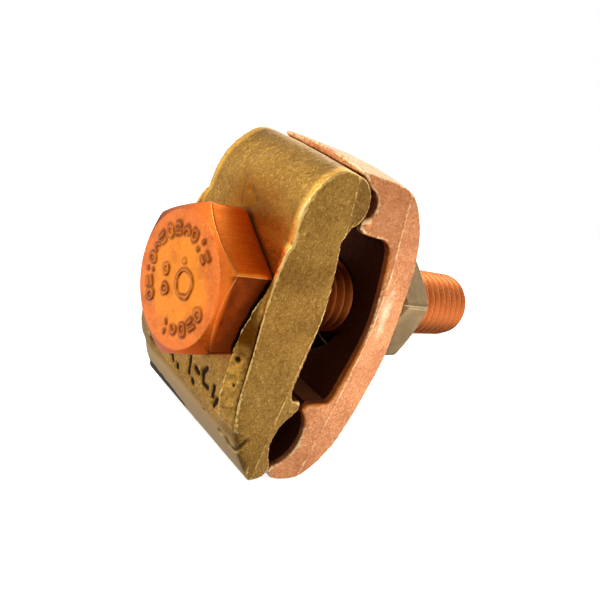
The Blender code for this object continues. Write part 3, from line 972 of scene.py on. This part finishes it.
def head_bronze():
    """Silicon bronze: a golden middle, a redder rim, fine drawn lines, bright edges and painted
    shade.
    """
    s = Shader("silicon_bronze_head")
    middle, rim, deep = (0.95, 0.27, 0.016), (0.86, 0.185, 0.030), (0.46, 0.075, 0.006)
    depth, height = s.along("X"), s.along("Z")
    cloud = s.noise(1.6, 4.0, 0.62)
    fine = s.noise(0.16, 3.0, 0.7)
    lines = s.noise(0.12, 3.0, 0.7, stretch=(0.05, 1.0, 1.0))
    colour = s.mix(s.between(s.vary(s.from_axis(), cloud, 5.0), 4.5, 8.8), middle, rim)
    colour = s.mix(s.between(cloud, 0.45, 0.72, 0.0, 0.48), colour, deep)
    colour = s.mix(s.between(fine, 0.42, 0.75, 0.0, 0.34), colour, (1.0, 0.54, 0.10))
    colour = s.mix(s.between(lines, 0.5, 0.8, 0.0, 0.25), colour, deep)
    # The facets are drawn orange metal, and painted shade darkens them, redder, towards the jaw.
    drawn = s.mix(s.between(lines, 0.35, 0.65), (0.92, 0.19, 0.012), (1.0, 0.29, 0.026))
    colour = s.mix(s.between(depth, -HEAD_H + 0.1, -HEAD_H + 1.6, 0.0, 0.85), colour, drawn)
    colour = s.mix(s.between(depth, -HEAD_H + 2.5, -0.5, 0.0, 0.35), colour, (0.46, 0.07, 0.004))
    # The chamfer is a deep red-orange, laid on more strongly on its lower side as painted shade.
    brim = s.between(s.from_axis(), FLAT_R + 0.02, FLAT_R + 0.15, 0.0, 0.72)
    brim = s.math("MULTIPLY", brim, s.between(depth, -HEAD_H + 1.7, -HEAD_H + 1.3))
    brim = s.math("MULTIPLY", brim, s.between(height, 5.0, -0.5, 0.35, 1.0))
    colour = s.mix(brim, colour, (0.78, 0.105, 0.003))
    # Painted shade: the facet that faces down towards the near rib is painted dark and reddish.
    below = s.mix(s.between(cloud, 0.4, 0.65), (0.12, 0.009, 0.0003), (0.28, 0.030, 0.001))
    below = s.mix(s.between(depth, -HEAD_H + 2.5, -1.2), below, (0.06, 0.004, 0.0002))
    colour = s.mix(s.between(s.painted("crevice_and_shade"), 0.08, 0.9, 0.0, 0.9), colour, below)
    # Dirt and painted shade darken the outlines of the raised marks.
    outlined = s.math("MULTIPLY", s.painted("marks_and_shade"), s.between(cloud, 0.3, 0.62, 0.5, 0.95))
    colour = s.mix(outlined, colour, (0.26, 0.052, 0.004))
    worn_and_glinting = s.between(s.vary(s.painted("wear_and_glint"), cloud, 0.5), 0.2, 0.6)
    colour = s.mix(worn_and_glinting, colour, (1.0, 0.52, 0.18))
    rough = s.between(fine, 0.3, 0.7, 0.27, 0.40)
    rough = s.mix(worn_and_glinting, rough, grey(0.2))
    normal = s.bump(lines, 0.16, 0.04)
    normal = s.bump(fine, 0.22, 0.04, normal)
    normal = s.bump(cloud, 0.25, 0.15, normal)
    return s.finish(colour, rough, normal)


def thread_bronze():
    """The bolt's thread: orange copper, with painted shade in the roots and between the jaws."""
    s = Shader("silicon_bronze_thread")
    fine = s.noise(0.15, 3.0, 0.7)
    cloud = s.noise(1.8, 3.0, 0.6)
    colour = s.mix(s.between(fine, 0.35, 0.7), (0.78, 0.19, 0.045), (0.95, 0.31, 0.085))
    colour = s.mix(s.between(cloud, 0.5, 0.8, 0.0, 0.35), colour, (0.60, 0.14, 0.03))
    # Painted shade in the roots.
    colour = s.mix(s.between(s.from_axis(), 6.0, 5.4, 0.0, 0.6), colour, (0.42, 0.09, 0.02))
    colour = s.mix(s.between(s.painted("wear_and_glint"), 0.3, 0.9, 0.0, 0.12), colour, (1.0, 0.50, 0.22))
    # Painted shade where the thread runs between the jaws.
    colour = s.mix(s.between(s.along("X"), 26.0, 22.0, 0.0, 0.75), colour, (0.16, 0.034, 0.003))
    normal = s.bump(fine, 0.3, 0.04)
    return s.finish(colour, s.between(fine, 0.3, 0.7, 0.34, 0.46), normal)


def nut_bronze(name, shade_radius=0.0):
    """A duller olive bronze with a satin, lightly scratched skin.

    With a shade radius, painted shade darkens it within that distance of the axis and on its
    face against the rear jaw.
    """
    s = Shader(name)
    cloud = s.noise(1.4, 4.0, 0.6)
    fine = s.noise(0.14, 3.0, 0.7)
    lines = s.noise(0.14, 2.0, 0.6, stretch=(1.0, 0.25, 0.25))
    colour = s.mix(s.between(cloud, 0.35, 0.7), (0.26, 0.155, 0.062), (0.37, 0.245, 0.105))
    colour = s.mix(s.between(fine, 0.45, 0.75, 0.0, 0.4), colour, (0.50, 0.36, 0.17))
    # Crevices darkened: grime and painted shade.
    colour = s.mix(s.between(s.painted("crevice_and_shade"), 0.15, 0.6, 0.0, 0.8), colour, (0.10, 0.05, 0.02))
    worn_and_glinting = s.between(s.vary(s.painted("wear_and_glint"), cloud, 0.4), 0.2, 0.5)
    colour = s.mix(worn_and_glinting, colour, (0.80, 0.66, 0.42))
    # Painted shade on the washer near the axis and on its face against the rear jaw.
    if shade_radius:
        washer_shade = s.math("MAXIMUM", s.between(s.from_axis(), shade_radius, shade_radius - 0.8),
                        s.between(s.along("X"), LAND_X + 0.25, LAND_X + 0.1))
        colour = s.mix(s.math("MULTIPLY", washer_shade, 0.92), colour, (0.03, 0.012, 0.004))
    rough = s.mix(worn_and_glinting, s.between(fine, 0.3, 0.7, 0.32, 0.46), grey(0.25))
    normal = s.bump(lines, 0.2, 0.03)
    normal = s.bump(fine, 0.25, 0.04, normal)
    return s.finish(colour, rough, normal)


# ---------------------------------------------------------------- stage


def floor():
    """A pale floor that glows a little and leaves the object's reflections and light alone."""
    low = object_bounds()[0]
    mesh = bpy.data.meshes.new("floor")
    side, z = 3.0, low.z
    corners = [(-side, -side, z), (side, -side, z), (side, side, z), (-side, side, z)]
    mesh.from_pydata(corners, [], [(0, 1, 2, 3)])
    obj = link("floor", mesh)
    s = Shader("pale_floor")
    mottle = s.noise(60.0, 3.0, 0.6)
    colour = s.mix(s.between(mottle, 0.3, 0.7), grey(0.90), grey(0.93))
    s.bsdf.inputs["Emission Color"].default_value = (1, 1, 1, 1)
    s.bsdf.inputs["Emission Strength"].default_value = 0.8
    normal = s.bump(mottle, 0.05, 0.2)
    mesh.materials.append(s.finish(colour, 0.9, normal, metallic=0.0, specular=0.0))
    obj.visible_glossy = False
    obj.visible_shadow = False
    obj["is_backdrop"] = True


# Broad lamps round the object: direction, cosine of the angle where the light ends, strength.
GLOWS = (
    ((-0.62, 0.30, 0.72), 0.35, 0.30),
    ((-0.72, 0.66, -0.12), 0.45, 1.08),
    ((0.10, 0.55, 0.83), 0.55, 0.09),
    ((0.84, -0.50, -0.25), 0.3, 0.52),
    ((0.78, -0.30, 0.55), 0.6, 0.36),
    ((0.72, 0.55, 0.42), 0.7, 2.4),
    ((0.0, 0.56, -0.83), 0.7, 0.5),
    ((-0.80, -0.50, -0.20), 0.8, 1.3),
    ((0.10, -0.92, -0.30), 0.8, 0.5),
    ((-0.10, -0.80, 0.50), 0.6, 0.6),
)
AMBIENT = 0.035
STUDIO_WHITE = (1.0, 0.985, 0.96)


def sky():
    """White to the camera, and a soft studio of broad lamps and dark corners to everything else."""
    world = bpy.data.worlds.new("studio")
    bpy.context.scene.world = world
    world.use_nodes = True
    tree = world.node_tree
    tree.nodes.clear()

    def node(kind, **settings):
        made_node = tree.nodes.new(kind)
        for key, value in settings.items():
            setattr(made_node, key, value)
        return made_node

    def glow(direction, spread, strength):
        """Light that falls off from a direction. spread is the cosine where it ends."""
        dot = node("ShaderNodeVectorMath", operation="DOT_PRODUCT")
        tree.links.new(where.outputs["Generated"], dot.inputs[0])
        dot.inputs[1].default_value = Vector(direction).normalized()
        fall = node("ShaderNodeMapRange", interpolation_type="SMOOTHSTEP")
        tree.links.new(dot.outputs["Value"], fall.inputs["Value"])
        fall.inputs["From Min"].default_value = spread
        fall.inputs["From Max"].default_value = 1.0
        fall.inputs["To Max"].default_value = strength
        return fall.outputs["Result"]

    where = node("ShaderNodeTexCoord")
    total = None
    for part in [glow(*each) for each in GLOWS]:
        both = node("ShaderNodeMath", operation="ADD")
        if total is None:
            both.inputs[0].default_value = AMBIENT
        else:
            tree.links.new(total, both.inputs[0])
        tree.links.new(part, both.inputs[1])
        total = both.outputs[0]
    studio = node("ShaderNodeBackground")
    studio.inputs["Color"].default_value = (*STUDIO_WHITE, 1)
    tree.links.new(total, studio.inputs["Strength"])
    white = node("ShaderNodeBackground")
    white.inputs["Color"].default_value = (1, 1, 1, 1)
    path = node("ShaderNodeLightPath")
    choose = node("ShaderNodeMixShader")
    out = node("ShaderNodeOutputWorld")
    tree.links.new(path.outputs["Is Camera Ray"], choose.inputs[0])
    tree.links.new(studio.outputs[0], choose.inputs[1])
    tree.links.new(white.outputs[0], choose.inputs[2])
    tree.links.new(choose.outputs[0], out.inputs[0])


def lamp(name, place, aim, size, energy):
    """A round lamp, in metres and watts."""
    data = bpy.data.lights.new(name, "AREA")
    data.shape = "DISK"
    data.size = size
    data.energy = energy
    obj = bpy.data.objects.new(name, data)
    bpy.context.scene.collection.objects.link(obj)
    obj.location = place
    obj.rotation_euler = (Vector(aim) - Vector(place)).to_track_quat("-Z", "Y").to_euler()


# The camera, in millimetres and degrees in the CAD frame.
CAMERA_PLACE = (-58.354, -59.485, 44.117)
CAMERA_AIM = (6.963, -11.281, 14.406)
CAMERA_ROLL = 24.651
LENS, SENSOR = 34.77, 36
SHIFT = (-0.075, 0.075)


def camera():
    data = bpy.data.cameras.new("camera")
    obj = bpy.data.objects.new("camera", data)
    bpy.context.scene.collection.objects.link(obj)
    place, aim = Vector(CAMERA_PLACE) * MM, Vector(CAMERA_AIM) * MM
    data.lens = LENS
    data.sensor_width = SENSOR
    data.shift_x, data.shift_y = SHIFT
    data.clip_start, data.clip_end = 0.005, 20
    look = (aim - place).normalized().to_track_quat("-Z", "Y").to_matrix()
    obj.location = place
    roll = Matrix.Rotation(math.radians(CAMERA_ROLL), 3, "Z")
    obj.rotation_euler = (look @ roll).to_euler()
    bpy.context.scene.camera = obj


def dress(obj, material, body, node):
    """Gives a piece its material and the body it rides on, and hides the CAD node it stands for."""
    obj.data.materials.clear()
    obj.data.materials.append(material)
    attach(obj, body)
    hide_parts(node)


camera()
olive = cast_bronze(
    "olive_cast_bronze", dark=(0.20, 0.093, 0.016), mid=(0.40, 0.210, 0.041),
    light=(0.64, 0.375, 0.092), bright=(0.86, 0.56, 0.18), grime_and_shade=(0.14, 0.055, 0.010),
    polished=(0.52, 0.32, 0.11), rim=(0.95, 0.52, 0.10), lip=(0.76, 0.50, 0.33),
    warm_reflection=(0.36, 0.115, 0.004), dark_stain_and_shade=(0.011, 0.006, 0.003))
copper = cast_bronze(
    "copper_cast_bronze", dark=(0.50, 0.165, 0.058), mid=(0.79, 0.32, 0.122),
    light=(1.0, 0.52, 0.27), bright=(1.0, 0.66, 0.34), grime_and_shade=(0.26, 0.07, 0.02),
    polished=(1.0, 0.68, 0.38), rim=(1.0, 0.78, 0.50), lip=(1.0, 0.66, 0.45),
    warm_reflection=(0.75, 0.22, 0.03), dark_stain_and_shade=(0.045, 0.004, 0.0008))
dress(front_jaw(), olive, "front_half", "front_jaw")
dress(rear_jaw(), copper, "rear_half", "rear_jaw")
dress(bolt_head(), head_bronze(), "front_half", "hex_bolt")
dress(bolt_thread(), thread_bronze(), "front_half", "hex_bolt")
dress(lock_washer(), nut_bronze("nut_bronze_washer", WASHER_SHADE_R), "washer", "lock_washer")
dress(hex_nut(), nut_bronze("nut_bronze_nut"), "nut", "hex_nut")
floor()
sky()
lamp("key", place=(-0.16, 0.10, 0.24), aim=(0, 0, 0.018), size=0.16, energy=0.26)
lamp("side", place=(0.25, -0.15, -0.04), aim=(0.01, 0, 0.018), size=0.12, energy=0.1)
bpy.context.scene.view_settings.view_transform = "Standard"
